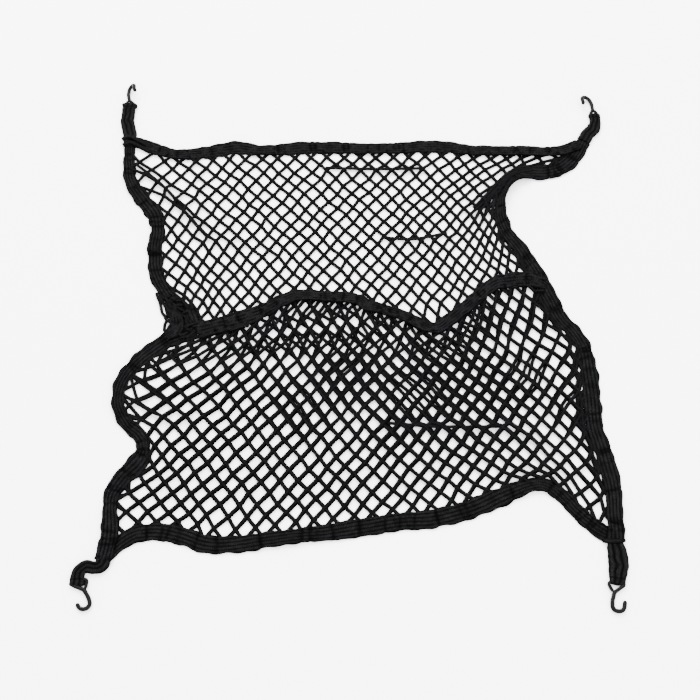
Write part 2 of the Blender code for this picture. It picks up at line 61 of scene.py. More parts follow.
# ------------------------------------------------------------------------- the bands
# x, y: middle of the band. width: across the band. roll: degrees about its length.
# lift: height of its lowest edge above the surface.
BANDS = {
    "top": np.array([
        (-309, 273.5, 16, 0, 1.4),
        (-292, 273, 16, 0, 0.8),
        (-265, 261, 18, -6, 0),
        (-240, 253, 17, -10, 0),
        (-209, 255, 18, 0, 0),
        (-160, 263.6, 19, 8, 0),
        (-127, 259, 17, -10, 0),
        (-95, 262.4, 19, 0, 0),
        (-50, 264.6, 19, 0, 0),
        (22, 262, 18, -8, 0),
        (85, 266, 19, 0, 0),
        (114, 265, 18, 0, 0),
        (150, 259, 17, -10, 0),
        (211, 258.2, 17, -10, 0),
        (243, 256.2, 15, -6, 2.0),
        (266, 259, 15, 0, 3.5),
        (284, 268, 15, 0, 3.5),
    ]),
    "left": np.array([
        (-300.7, 268.5, 14, 0, 0),
        (-299, 232, 15, -14, 0),
        (-294.8, 209, 17, -10, 0),
        (-276, 178.5, 20, 0, 0),
        (-259.6, 155, 20, 0, 0),
        (-256, 130, 17, -10, 0),
        (-257.8, 110, 17, -14, 0),
        (-256, 90, 18, 0, 0),
        (-253.8, 72, 18, 0, 0),
        (-247.5, 55, 17, 0, 0),
        (-237, 38, 17, 0, 0),
        (-223, 24, 19, 0, 0),
        (-213, 9, 23, 0, 0),
        (-208.5, -6, 24, 0, 0),
        (-217, -17, 24, 0, 0),
        (-233, -26, 22, 0, 0),
        (-247, -36.5, 20, 0, 0),
        (-261, -50, 18, -8, 0),
        (-276, -68, 16, -16, 0),
        (-285, -88, 15, -20, 0),
        (-286, -115, 15, -16, 0),
        (-273, -140, 16, 0, 0),
        (-258, -154, 17, 0, 0),
        (-252, -171, 16, 0, 0),
        (-258.5, -190, 24, 0, 0),
        (-274.5, -211, 21, 0, 0),
        (-285, -231, 17, 0, 0),
        (-284, -250, 16, 0, 2.0),
        (-282, -274, 20, 0, 3.5),
        (-286.5, -310, 18, 0, 3.5),
    ]),
    "right": np.array([
        (291.5, 274.5, 17, 0, 0),
        (283, 257, 18, 0, 0),
        (271, 242, 20, 0, 0),
        (256, 230, 21, 0, 0),
        (238, 224, 21, 0, 0),
        (218, 223, 21, 6, 0),
        (203, 216, 18, 24, 0),
        (191, 203, 14, 46, 0),
        (182, 186, 13, 50, 0),
        (178, 167, 15, 34, 0),
        (178, 150, 16, 14, 0),
        (184, 130, 17, 0, 0),
        (194, 114, 18, 0, 0),
        (207, 92, 18, 0, 0),
        (219, 67, 18, 0, 0),
        (233, 30, 19, 0, 0),
        (242, 4, 17, 8, 0),
        (257, -15, 16, 10, 0),
        (267, -38, 18, 0, 0),
        (271, -76, 20, 0, 0),
        (271, -115, 20, 0, 0),
        (272, -147, 19, 0, 0),
        (279, -178, 20, 0, 0),
        (284, -205, 20, 0, 0),
        (285.5, -232, 18, 0, 1.6),
        (284, -256, 18, 0, 3.5),
        (282.5, -287, 20, 0, 3.5),
    ]),
    "bottom": np.array([
        (-284, -303, 16, 0, 0),
        (-273, -291, 17, 0, 0),
        (-260, -281, 19, 0, 0),
        (-244, -276, 20, 0, 0),
        (-222, -275, 21, 0, 0),
        (-201, -280, 21, 0, 0),
        (-175, -289, 21, 0, 0),
        (-142, -290, 20, 0, 0),
        (-107, -285, 19, -4, 0),
        (-71, -280, 18, -6, 0),
        (-14, -272, 21, 0, 0),
        (34, -264, 21, 0, 0),
        (84, -258, 22, 0, 0),
        (120, -248, 22, 0, 0),
        (158, -232, 22, 0, 0),
        (189, -219, 18, -8, 0),
        (208, -218, 17, -8, 0),
        (227, -231, 17, 0, 0),
        (243, -250, 17, 0, 0),
        (259, -267.5, 19, 0, 0),
        (272, -276.5, 19, 0, 0),
        (283, -280, 17, 0, 0),
    ]),
    "mouth": np.array([
        (-198, -15, 24, 0, 3.5),
        (-181, -10, 23, 0, 3.5),
        (-164, -5, 22, 0, 3.5),
        (-147, 2, 22, 0, 3.5),
        (-129, 9, 20, 0, 3.5),
        (-111, 18, 18, 0, 3.5),
        (-95, 28, 17, -6, 3.5),
        (-78, 35, 16, -8, 3.5),
        (-57, 34, 16, -8, 3.5),
        (-8, 30, 16, -8, 3.5),
        (7, 21, 16, -8, 3.5),
        (38, 11, 15, -8, 3.5),
        (55, 4, 15, -8, 3.5),
        (72, -7, 15, -8, 3.5),
        (90, -11, 15, 0, 3.5),
        (106, 0, 16, 0, 3.5),
        (125, 17, 16, 0, 3.5),
        (145, 36, 17, 0, 3.5),
        (163, 52, 18, 0, 3.5),
        (182, 57, 20, 0, 3.5),
        (204, 58.5, 22, 0, 3.5),
        (217, 56.5, 20, 0, 3.0),
        (229, 51, 13, 0, 1.8),
    ]),
}
BAND_CORDS = 5              # lengthwise cords across a band
BAND_STEP = 1.6             # distance between two rows of points along a band
BAND_TOP_POINTS = 57        # points across a band's upper face
BAND_UNDER_POINTS = 15      # and across its lower face, with both edges
EDGE_FUZZ = 0.7             # how far the looped edge stands out past the drawn width
SEWN_PITCH = 21.9           # distance between the net's strands where they are knitted in
SEWN_RISES = {"top": 0.5, "left": 0.2, "right": 0.2, "bottom": 0.15, "mouth": 0.6}
CREASE_EVERY = 14.0         # mean distance between the small creases across a band
CREASE_DEPTH = 0.9

# -------------------------------------------------------------------------- the nets
# A net is a grid of knots half a mesh apart. Knot (i, j) is i half meshes from the left
# border and j below the upper one, and strands join the knots whose i + j is even.
WIDE = 53                   # half meshes across both nets; the last is at the right band
BACK_DEEP = 43              # half meshes down the whole back net
POCKET_DEEP = 23            # half meshes down the pocket
MOUTH_ROW = 21              # half meshes down the back net to the mouth's ends
FOLLOW_ROWS = 5             # rows over which the back net comes to follow the pocket
POCKET_HEIGHT = 1.6         # height of the pocket's strands at its borders
POCKET_RISE = 2.1           # how much higher they lie inside
RISE_ROWS = 4               # half meshes over which they rise
BACK_HEIGHT = 0.34          # height of the back net's strands as a share of their width
WEAVE = 0.08                # how far a strand swings up and down, as such a share
BEAD_WIDE = 1.25            # a bead's width and height as shares of a strand's
BEAD_HIGH = 1.06
SLOW_SHIFT = 0.9            # unevenness of the meshes: slow waves across the net
KNOT_SHIFT = 0.5            # and the seeded shift of each knot
CORD_FLAT = 0.48            # a strand's height as a share of its width
TUCK = 6.0                  # how far the strands reach into a band
RELAX_ROUNDS = 400
GUARDED = 3                 # outer columns of knots that keep clear of the side bands
KNOT_ROOM = 1.0             # room for each of those columns
EDGE_ROOM = 8.5             # the last half mesh: from the right ties to the knots beside them

# A tie (k, x, y) holds border knot k at the place on the band nearest to x, y. The knots
# between two ties are spaced evenly.
TOP_TIES = ((0, -291, 257), (WIDE - 1, 269, 252))
BOTTOM_TIES = ((0, -275, -282), (WIDE - 1, 273, -273))
MOUTH_TIES = ((0, -206, -33), (WIDE - 1, 220, 49))
POCKET_LEFT_TIES = ((0, -206, -33), (POCKET_DEEP, -275, -280))
POCKET_RIGHT_TIES = ((0, 220, 49), (POCKET_DEEP, 273, -265))
BACK_LEFT_TIES = ((0, -291, 257), (MOUTH_ROW, -208, 2), (BACK_DEEP, -275, -280))
BACK_RIGHT_TIES = ((0, 279, 257), (MOUTH_ROW, 220, 49), (BACK_DEEP, 273, -265))

# A gather draws the knots nearer than reach towards its line, by the share pull, and
# lifts them by rise. Each row is one straight stretch: x0, y0, x1, y1, pull, reach, rise.
BACK_GATHERS = (
    (-290, 236, -250, 198, 0.66, 12, 3.0),
    (-250, 198, -215, 150, 0.7, 12, 4.5),
    (-215, 150, -192, 122, 0.6, 11, 3.0),
    (-190, 122, -146, 112, 0.4, 10, 2.0),
    (200, 226, 178, 200, 0.68, 14, 4.0),
    (178, 200, 150, 165, 0.62, 14, 4.0),
    (-45, 231, 80, 230, 0.5, 6, 3.0),
    (28, 122, 66, 120, 0.5, 6, 2.0),
    (66, 120, 108, 129, 0.5, 6, 2.0),
    (-211, 236, -205, 160, 0.4, 8, 2.0),
    (-162, 131, -116, 104, 0.35, 8, 1.5),
    (-76, 92, -38, 86, 0.35, 6, 1.0),
)
POCKET_GATHERS = (
    (-270, -110, -235, -132, 0.4, 11, 2.5),
    (-235, -132, -195, -134, 0.4, 9, 2.5),
    (30, -140, 80, -144, 0.45, 8, 2.5),
    (80, -144, 162, -144, 0.6, 8, 3.0),
    (162, -144, 205, -166, 0.45, 8, 2.5),
    (170, -205, 235, -205, 0.4, 10, 2.0),
)

# Below the pocket the back net lies under the pocket's own strands, SIDEWAYS off them. A
# drift moves it further: x, y of the middle, dx, dy, and how far it reaches.
SIDEWAYS = (0.3, -0.7)
DRIFTS = (
    (-16, -70, -1.5, 8.5, 52),
    (95, -32, 4.0, 6.0, 26),
    (125, -100, 3.2, 2.6, 110),
    (62, -105, 3.5, 4.0, 30),
    (-150, -40, 4.0, 2.5, 30),
    (-165, -92, 1.5, 1.0, 30),
    (188, 20, -9.5, -2.0, 42),
    (200, -72, 4.5, -4.0, 30),
    (238, -120, -4.0, 3.5, 30),
    (252, -60, -4.5, 2.0, 28),
    (258, -105, -3.0, 1.0, 28),
    (264, -150, -1.5, 1.0, 26),
    (270, -195, -3.0, 0.0, 22),
    (-75, -118, 4.0, 3.5, 40),
    (-252, -92, 6.0, 2.0, 34),
    (-55, 0, -3.0, 4.5, 26),
    (30, -152, 2.5, 0.5, 26),
)

# The pocket's corner, gathered up under the left band's fold: a strip, as the bands.
GATHERED_CORNER = np.array([
    (-238, 27, 5, 0, 0),
    (-231, 15, 9, 0, 0.6),
    (-225, 5, 14, 6, 1.2),
    (-223, -6, 18, 6, 1.6),
    (-227, -16, 18, 0, 1.4),
    (-235, -22, 12, 0, 0.8),
])
# Strands that come out beside the bands, and four that lie along the folds of the nets:
# x, y, height of the middle.
LOOSE_STRANDS = (
    ((-251, 40, 3), (-249, 34, 3), (-246, 27, 3), (-242, 12, 2), (-236, 3, 2), (-238, -5, 2),
     (-238, -14, 1.5)),
    ((-247, 36, 3), (-244, 29, 4), (-238, 19, 3), (-236, 11, 2), (-231, 4, 3), (-224, -3, 4)),
    ((-238, 7, 1.5), (-237, 3, 3), (-230, -3, 4), (-222, -8, 5)),
    ((-235, -14, 2), (-230, -5, 3), (-228, 2, 4), (-227, 12, 4)),
    ((221, 234, 4), (200, 228, 5), (184, 216, 5.5), (170, 199, 5), (156, 182, 4), (143, 168, 2.5)),
    ((219, 230, 4), (200, 224, 5), (185, 212, 5.5), (173, 196, 5), (164, 178, 4), (158, 160, 2.5)),
    ((222, 227, 4), (202, 221, 5), (187, 209, 5), (177, 194, 4.5), (169, 174, 4), (166, 153, 2.5)),
    ((30, -140, 5), (80, -144, 5), (122, -145, 5), (162, -144, 5)),
    ((-45, 231, 3), (18, 229, 3), (80, 230, 3)),
    ((28, 122, 3), (66, 120, 3), (108, 129, 3)),
    ((-290, 236, 4), (-250, 198, 4), (-215, 150, 4), (-192, 122, 3)),
)
# Cords that wrap the roots of two straps: x, y, height of the middle.
WRAPS = (
    ((-311, 276, 3.0), (-306, 279, 6.2), (-299, 278.5, 6.6), (-287, 272, 4.6), (-274, 264.5, 2.4)),
    ((-309.5, 267, 2.6), (-305, 269.5, 4.6), (-298, 270, 5.4), (-286, 263.5, 4.2), (-274, 257, 2.2)),
    ((269, -285, 2.0), (273, -287, 5.0), (281, -288, 6.6), (288, -286.5, 5.0), (292, -284, 2.0)),
)
WRAP_WIDE = 6.4
LOOSE_STEP = 1.5            # distance between two rings of a loose strand
LOOSE_SIDES = 10
LOOSE_WIDE = 0.9            # a loose strand's width as a share of the nets' strands
# Gathered loops of the pocket's edge: x, y, half sizes, height, turn and count.
TANGLES = (
    (-217, 10, 13, 19, 4.6, 20, 16),
    (-232, 27, 9, 8, 4.4, -40, 7),
    (-205, -14, 16, 7, 5.2, 20, 9),
    (-152, -8, 24, 5, 5.8, 18, 14),
    (206, 52, 20, 9, 5.6, -8, 10),
)
LOOP_WIDE = 0.7             # a loop's width as such a share
LOOP_BEND = 0.28            # spread of its steps, and of the way they share
LOOP_RUN = 0.22
LOOP_ARCH = np.array([-1.8, 0.3, 0.9, 0.3, -1.8])   # its points above the heap's height

# ------------------------------------------------------------------ straps and hooks
# x, y: middle of the strap from root to end. width and height are its real ones, and
# pinch is how deeply its folds draw in.
STRAPS = {
    "top_left": np.array([
        (-301.4, 279, 17, 5.2, 0.10),
        (-302.6, 289.5, 17.6, 5.4, 0.16),
        (-306.4, 304, 17.6, 5.8, 0.2),
        (-306.7, 317, 17, 6.2, 0.2),
        (-306.2, 329, 17.4, 6.8, 0.14),
        (-305.8, 337.2, 20, 6.8, 0.06),
    ]),
    "top_right": np.array([
        (291, 274.2, 17, 5.2, 0.1),
        (298, 286, 17, 5.4, 0.16),
        (306.4, 296, 17, 5.8, 0.2),
        (309, 307, 14, 6.4, 0.2),
        (308.8, 319.5, 14.4, 6.8, 0.08),
    ]),
    "bottom_left": np.array([
        (-286.5, -308, 16.5, 6.0, 0.1),
        (-287.1, -313.6, 16, 6.2, 0.2),
        (-290.8, -317, 14.4, 6.6, 0.3),
        (-297.4, -318, 14, 6.9, 0.34),
        (-304.4, -316.6, 14.2, 6.9, 0.3),
        (-310.8, -320.4, 14, 6.9, 0.24),
        (-313.2, -328.8, 15, 6.7, 0.16),
        (-312.8, -340, 17.6, 6.4, 0.06),
    ]),
    "bottom_right": np.array([
        (281.6, -286.5, 16.4, 6.0, 0.1),
        (282.4, -297, 20.6, 5.9, 0.18),
        (283.2, -310, 22.4, 5.8, 0.22),
        (281.6, -323, 20.6, 6.1, 0.2),
        (280, -332, 17.4, 6.4, 0.14),
        (279, -338.6, 15.6, 6.4, 0.06),
    ]),
}
STRAP_FOLDS = 3             # lengthwise ribs of a folded strap
STRAP_STEP = 0.7
STRAP_POINTS = 84           # points around a strap
STRAP_SQUARE = 0.6          # power that squares its section
ROLL_REACH = 3.8            # the rolled end, its seam and its bulge, from the end
ROOT_REACH = 1.2
SEAM_AT = 7.5
SEAM_REACH = 0.9
BULGE_AT = 3.0
BULGE_REACH = 1.8
ROLL_WIDTH = 0.45           # share of the width that the very end keeps

# The wire's middle line, flat: x across the hook, y from crossbar to bend, bend radius.
HOOK_WIRE = (
    (8.4, 20.8, 0),
    (6.4, 33.2, 6.1),
    (-5.9, 33.2, 6.1),
    (-5.7, 22.0, 14),
    (-2.8, 11.8, 5),
    (8.3, 3.5, 2.1),
    (8.3, 0, 2.4),
    (-8.3, 0, 2.4),
    (-8.3, 3.5, 2.1),
    (-4.3, 11.0, 0),
)
STEM_X = -5.4
BAR_END = 4.0
TWIST_FROM = 11.0
TWIST_TO = 24.0
HOOK_DROP = 0.5
HOOK_BAR_HEIGHT = 3.2
WIRE_SIDES = 20
WIRE_SHARE = 0.86           # the wire's thickness where it thins, as a share of its size
WIRE_THINS = 0.1            # what it gains before there and loses after
THIN_AT = 44
THIN_REACH = 5
# x, y: middle of the crossbar. heading of the stem, side that faces up, twist, the share
# of the crossbar's length that lies across the strap, and how much shorter the tip is.
HOOKS = {
    "top_left": (-304.6, 330, 87, -1, 50, 0.9, 0),
    "top_right": (308.6, 314, 109, 1, 28, 0.68, 0),
    "bottom_left": (-310.8, -333.4, -73, -1, 0, 0.95, 3.5),
    "bottom_right": (278.6, -335, -92, 1, 0, 1, 0),
}

# ------------------------------------------------------------------------- the stage
TARGET = Vector((-0.0125, -0.0361, 0.0))
CAMERA_ABOVE = math.radians(60)
CAMERA_AWAY = 1.75
LENS = 74.98
FLOOR_HALF = 4.0
FLOOR_LEVEL = -0.0002
ROOM_LIGHT = 5.5
# name, place, size in metres, power in watts
LIGHTS = (
    ("soft light behind", (-0.5, 2.2, 2.6), 2.4, 440),
    ("soft light front", (0.9, -2.0, 2.8), 3.0, 200),
)


# ---------------------------------------------------------------------------- meshes
def placed(points):
    """Drawing millimetres to frame metres: (point - MIDDLE) times MM."""
    return (points - MIDDLE) * MM


def grid_faces(rows, sides, first):
    """Quads of a tube whose rings have that many sides, and its two end faces.

    Quad (r, k) joins points k and k + 1 of ring r to the same points of ring r + 1, and
    k + 1 wraps round to 0.
    """
    ring = np.arange(rows - 1)[:, None] * sides + first
    k = np.arange(sides)[None, :]
    nxt = (k + 1) % sides
    quads = np.stack([ring + k, ring + sides + k, ring + sides + nxt, ring + nxt], axis=-1)
    last = first + (rows - 1) * sides
    caps = [list(range(first, first + sides)), list(range(last + sides - 1, last - 1, -1))]
    return quads.reshape(-1, 4).tolist() + caps


def mesh_piece(name, grids, knits, node, material, extra=()):
    """One object from several closed tubes, each a grid of rings with its knit places.

    knits holds three numbers for each point: its distance across and along the cloth in
    millimetres, and its painted light share, from 0 for painted shade in a groove to 1 for
    a painted highlight on top. The materials read them from the attribute "knit". extra
    holds loose meshes as (points, knit places, faces).
    """
    points, places, faces = [], [], []
    first = 0
    for grid, knit in zip(grids, knits):
        rows, sides = grid.shape[:2]
        faces += grid_faces(rows, sides, first)
        points.append(grid.reshape(-1, 3))
        places.append(knit.reshape(-1, 3))
        first += rows * sides
    for loose, knit, quads in extra:
        faces += (quads + first).tolist()
        points.append(loose)
        places.append(knit)
        first += len(loose)
    points = placed(np.concatenate(points))
    places = np.concatenate(places)
    mesh = bpy.data.meshes.new(name)
    mesh.from_pydata(points.tolist(), [], faces)
    mesh.polygons.foreach_set("use_smooth", np.ones(len(mesh.polygons), dtype=bool))
    knit = mesh.attributes.new("knit", "FLOAT_VECTOR", "POINT")
    knit.data.foreach_set("vector", places.ravel())
    mesh.materials.append(material)
    mesh.update()
    piece = bpy.data.objects.new(name, mesh)
    bpy.context.scene.collection.objects.link(piece)
    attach(piece, "root")
    if node:
        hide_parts(node)
    return piece


def unit(vectors):
    """Each vector divided by its length."""
    return vectors / np.maximum(np.linalg.norm(vectors, axis=-1, keepdims=True), 1e-9)


def run_lengths(points):
    """Length along a line at each of its points."""
    hops = np.linalg.norm(np.diff(points, axis=0), axis=1)
    return np.concatenate([[0.0], np.cumsum(hops)])


def rounded(a, b, c, d, t):
    """Catmull-Rom cubic from b to c as t goes from 0 to 1.

    Half of 2b + (c - a)t + (2a - 5b + 4c - d)t^2 + (3b - a - 3c + d)t^3.
    """
    return 0.5 * (2 * b + (c - a) * t + (2 * a - 5 * b + 4 * c - d) * t ** 2
                  + (3 * b - a - 3 * c + d) * t ** 3)


def quarter_circle(part, least):
    """Root of 1 - (1 - part)^2, with part held between least and 1."""
    return np.sqrt(1 - (1 - np.clip(part, least, 1.0)) ** 2)


def smooth_rows(table, step):
    """Rows every step along the rounded curve through a table's rows, and their lengths."""
    rows = np.vstack([2 * table[0] - table[1], table, 2 * table[-1] - table[-2]])
    a, b, c, d = rows[:-3], rows[1:-2], rows[2:-1], rows[3:]
    t = np.linspace(0, 1, 24, endpoint=False)[None, :, None]
    a, b, c, d = (part[:, None, :] for part in (a, b, c, d))
    fine = np.vstack([rounded(a, b, c, d, t).reshape(-1, table.shape[1]), table[-1:]])
    return even_rows(fine, step)


def even_rows(rows, step):
    """Rows re-spaced evenly by length over x and y, and the length at each."""
    length = run_lengths(rows[:, :2])
    even = np.linspace(0, length[-1], max(2, math.ceil(length[-1] / step) + 1))
    return np.column_stack([np.interp(even, length, column) for column in rows.T]), even


def side_vectors(rows):
    """Unit vectors to the left of a curve in the plane, one per row."""
    along = unit(np.gradient(rows[:, :2], axis=0))
    return np.column_stack([-along[:, 1], along[:, 0], np.zeros(len(along))])


def rounded_end(length, radius):
    """From 0 at both ends of a piece to 1 inside them, as a quarter circle."""
    return quarter_circle(np.minimum(length, length[-1] - length) / radius, 0.05)


def tube_grid(path, width, height, sides):
    """Rings of an oval section carried along a path, level across, and its knit places.

    A ring's point at angle q is path + side * cos(q) * width / 2 + up * sin(q) * height / 2,
    where side is level and square to the path. The knit place is the arc from the top, and
    the painted light share goes from 0.2 on the sides and below to 1 on top: painted shade
    on the sides, a painted highlight along the top.
    """
    along = unit(np.gradient(path, axis=0))
    side = unit(np.cross(np.array([0.0, 0.0, 1.0]), along))
    up = np.cross(along, side)
    angle = 2 * np.pi * (np.arange(sides) + 0.5) / sides
    width = np.broadcast_to(width, len(path))[:, None, None]
    height = np.broadcast_to(height, len(path))[:, None, None]
    grid = (path[:, None, :] + side[:, None, :] * np.cos(angle)[None, :, None] * width / 2
            + up[:, None, :] * np.sin(angle)[None, :, None] * height / 2)
    length = run_lengths(path)
    from_top = np.abs((angle - np.pi / 2 + np.pi) % (2 * np.pi) - np.pi)
    arc = from_top[None, :] * np.broadcast_to(width, (len(path), 1, 1))[:, :, 0] / 2
    # painted light: a painted highlight along the top of the tube, painted shade on its sides and
    # underside
    painted_light = 0.2 + 0.8 * np.maximum(np.sin(angle), 0) ** 1.5
    return grid, knit_places(arc, length[:, None], painted_light[None, :])


def tube_grids(lines, sides):
    """A tube along each of several lines, given as (path, width): grids and knit places."""
    tubes = [tube_grid(path, wide, wide * CORD_FLAT, sides) for path, wide in lines]
    return [grid for grid, _ in tubes], [knit for _, knit in tubes]


def level_grid(rows, across, height):
    """Points across to the left of each row's place, at their heights."""
    middle = np.column_stack([rows[:, :2], np.zeros(len(rows))])[:, None, :]
    level = across[..., None] * side_vectors(rows)[:, None, :]
    return middle + level + np.stack([0 * height, 0 * height, height], axis=-1)


def knit_places(across, along, painted_light):
    """The three knit numbers of each point of a grid: across, along and the painted light share."""
    return np.stack(np.broadcast_arrays(across, along, painted_light), axis=-1)


# ------------------------------------------------------------------------- materials
def new_material(name):
    """A node material and its Principled shader."""
    material = bpy.data.materials.new(name)
    material.use_nodes = True
    return material, material.node_tree, material.node_tree.nodes["Principled BSDF"]


def add_node(tree, kind, settings=None, **inputs):
    """Add a node, set its settings, and set or link its inputs by name."""
    node = tree.nodes.new(kind)
    for key, value in (settings or {}).items():
        setattr(node, key, value)
    for key, value in inputs.items():
        socket = node.inputs[key.replace("_", " ")]
        if isinstance(value, bpy.types.NodeSocket):
            tree.links.new(value, socket)
        else:
            socket.default_value = value
    return node


def sums(tree, operation, first, second=0.0):
    """A Math node's result for two numbers or sockets."""
    node = tree.nodes.new("ShaderNodeMath")
    node.operation = operation
    for socket, value in zip(node.inputs, (first, second)):
        if isinstance(value, bpy.types.NodeSocket):
            tree.links.new(value, socket)
        else:
            socket.default_value = value
    return node.outputs[0]


def stitch_height(tree, across, along, wale, course):
    """Height of knitted loops: V shapes in columns.

    Loops are half of 1 plus the sine of along / course + slant, where slant rises from
    the middle of each column of width wale to its sides.
    """
    slant = sums(tree, "PINGPONG", across, wale / 2)
    slant = sums(tree, "MULTIPLY", slant, 1.4 / wale)
    phase = sums(tree, "ADD", sums(tree, "DIVIDE", along, course), slant)
    loops = sums(tree, "SINE", sums(tree, "MULTIPLY", phase, 2 * math.pi))
    return sums(tree, "MULTIPLY", sums(tree, "ADD", loops, 1.0), 0.5)


def knit_material(name, colour, lift, wale, course, depth):
    """Matt black knitted yarn with painted light: painted shade in grooves and between loops,
    a painted highlight with painted glints on top, up to lift times the colour.
    """
    material, tree, shader = new_material(name)
    place = add_node(tree, "ShaderNodeAttribute", {"attribute_name": "knit"})
    parts = add_node(tree, "ShaderNodeSeparateXYZ", Vector=place.outputs["Vector"])
    height = stitch_height(tree, parts.outputs["X"], parts.outputs["Y"], wale, course)
    coords = add_node(tree, "ShaderNodeTexCoord").outputs["Object"]
    fuzz_and_glints = add_node(tree, "ShaderNodeTexNoise", Vector=coords, Scale=750.0, Detail=3.0)
    patches = add_node(tree, "ShaderNodeTexNoise", Vector=coords, Scale=90.0, Detail=2.0)
    # painted glints: sparse lit specks where the light catches single loops
    painted_glints = sums(tree, "POWER", sums(tree, "ADD", fuzz_and_glints.outputs["Fac"], 0.4), 4.0)
    # painted light: the loops lit on top and shaded between them, times the glints, the random
    # patches and the painted light share of the point
    tone = sums(tree, "MULTIPLY", height, painted_glints)
    tone = sums(tree, "MULTIPLY", tone, sums(tree, "ADD", patches.outputs["Fac"], 0.3))
    tone = sums(tree, "MULTIPLY", tone, sums(tree, "POWER", parts.outputs["Z"], 2.6))
    # the ramp runs from painted shade at a tenth of the yarn's colour to a painted highlight at lift
    # times it
    ramp = add_node(tree, "ShaderNodeValToRGB", Fac=tone)
    ramp.color_ramp.elements[0].color = (*[c * 0.1 for c in colour], 1)
    ramp.color_ramp.elements[1].color = (*[c * lift for c in colour], 1)
    ramp.color_ramp.elements[1].position = 0.7
    tree.links.new(ramp.outputs["Color"], shader.inputs["Base Color"])
    relief = sums(tree, "ADD", height, sums(tree, "MULTIPLY", fuzz_and_glints.outputs["Fac"], 0.7))
    bump = add_node(tree, "ShaderNodeBump", Height=relief, Distance=depth, Strength=0.8)
    tree.links.new(bump.outputs["Normal"], shader.inputs["Normal"])
    shader.inputs["Roughness"].default_value = 0.75
    shader.inputs["Specular IOR Level"].default_value = 0.01
    return material


def wire_material(colour):
    """Satin black coating on steel wire, with faint unevenness and rubbed spots."""
    material, tree, shader = new_material("coated wire")
    coords = add_node(tree, "ShaderNodeTexCoord").outputs["Object"]
    rubbed = add_node(tree, "ShaderNodeTexNoise", Vector=coords, Scale=260.0, Detail=4.0)
    ramp = add_node(tree, "ShaderNodeValToRGB", Fac=rubbed.outputs["Fac"])
    ramp.color_ramp.elements[0].position = 0.35
    ramp.color_ramp.elements[0].color = (*[c * 0.6 for c in colour], 1)
    ramp.color_ramp.elements[1].position = 0.8
    ramp.color_ramp.elements[1].color = (*[c * 1.3 for c in colour], 1)
    tree.links.new(ramp.outputs["Color"], shader.inputs["Base Color"])
    rough = sums(tree, "MULTIPLY", rubbed.outputs["Fac"], 0.35)
    tree.links.new(sums(tree, "ADD", rough, 0.2), shader.inputs["Roughness"])
    bump = add_node(tree, "ShaderNodeBump", Height=rubbed.outputs["Fac"], Distance=0.00008,
                    Strength=0.4)
    tree.links.new(bump.outputs["Normal"], shader.inputs["Normal"])
    shader.inputs["Specular IOR Level"].default_value = 0.03
    return material


# ----------------------------------------------------------------------------- bands
def band_grid(table, thick, rib, sewn_rise, seed):
    """A band's rings, from edge to edge over the top and back below, and knit places.

    At s from -1 to 1 across, the upper face stands at half the thickness plus half of it
    times the root of 1 - |s|^14. On it stand lengthwise cords, rib times the root of the
    sine of the cord count times s, the net's strands knitted in, as two slanted families
    of ridges, and a few creases across at seeded places, each a negative bell curve. The
    band's plane is turned by roll about its length.
    """
    rows, length = smooth_rows(table, BAND_STEP)
    top = np.linspace(-1, 1, BAND_TOP_POINTS)
    under = np.linspace(1, -1, BAND_UNDER_POINTS)[1:-1]
    s = np.concatenate([top, under])[None, :]
    upper = np.concatenate([np.ones(len(top)), -np.ones(len(under))])[None, :]
    v = length[:, None]
    flat = 1 - np.abs(s) ** 10
    drift = 0.16 * np.sin(v / 23 + seed) + 0.1 * np.sin(v / 9.5)
    cords = np.abs(np.sin(np.pi * (BAND_CORDS * (s + 1) / 2 + drift))) ** 0.55
    sewn = sum(np.maximum(np.cos(np.pi * (v / SEWN_PITCH + way * s / 2)), -1) ** 16
               for way in (-1, 1))
    random = np.random.default_rng(seed)
    count = int(length[-1] / CREASE_EVERY)
    spots, slant, depth = random.uniform((0, -2.5, 0.25), (length[-1], 2.5, 1), (count, 3)).T
    creases = np.max(depth * np.exp(-((v[..., None] - spots + slant * s[..., None]) / 1.5) ** 2),
                     axis=-1)
    waves = (0.3 * np.sin(v / 6.1 + 2 * s) * np.sin(v / 17 + 1.3)
             + 0.15 * np.sin(v / 2.9 - 3 * s + 2 * np.sin(v / 11)))
    closing = rounded_end(length, thick / 2)[:, None]
    rise = thick / 2 * np.sqrt(np.maximum(1 - np.abs(s) ** 14, 0)) * closing
    relief = flat * (rib * cords + sewn_rise * sewn - CREASE_DEPTH * creases) + waves
    z = thick / 2 + np.where(upper > 0, rise + relief * closing, -rise)
    # painted light: a painted highlight on the cords and the knitted-in strands, painted shade
    # between the cords, in the creases and towards the edges
    painted_light = np.clip(cords * (1 - 0.8 * creases) + sewn_rise * sewn, 0, 1)
    painted_light = painted_light * (1 - 0.5 * np.abs(s) ** 10)
    edge = (0.6 * np.cos(2 * np.pi * v / SEWN_PITCH + np.sign(s)) + 0.5 * np.sin(v / 4.3 + s)
            * np.sin(v / 13) + 0.4 * np.sin(v / 7.7 + 2 * s) - 0.8 * creases)
    across = s * (rows[:, 2:3] / 2 + EDGE_FUZZ + edge * np.abs(s) ** 6 * closing)
    roll = np.radians(rows[:, 3:4])
    lift = np.maximum(rows[:, 4:5], 0) + rows[:, 2:3] / 2 * np.abs(np.sin(roll))
    height = across * np.sin(roll) + z * np.cos(roll) + lift
    grid = level_grid(rows, across * np.cos(roll) - z * np.sin(roll), height)
    return grid, knit_places(across, v, painted_light)


# ------------------------------------------------------------------------------ nets
def band_side(name, side):
    """Line along one side of a band (1 left, -1 right), TUCK inside its edge."""
    rows, _ = smooth_rows(BANDS[name], 1.0)
    reach = rows[:, 2] / 2 * np.cos(np.radians(rows[:, 3])) - TUCK
    return rows[:, :2] + side_vectors(rows)[:, :2] * (side * reach)[:, None]


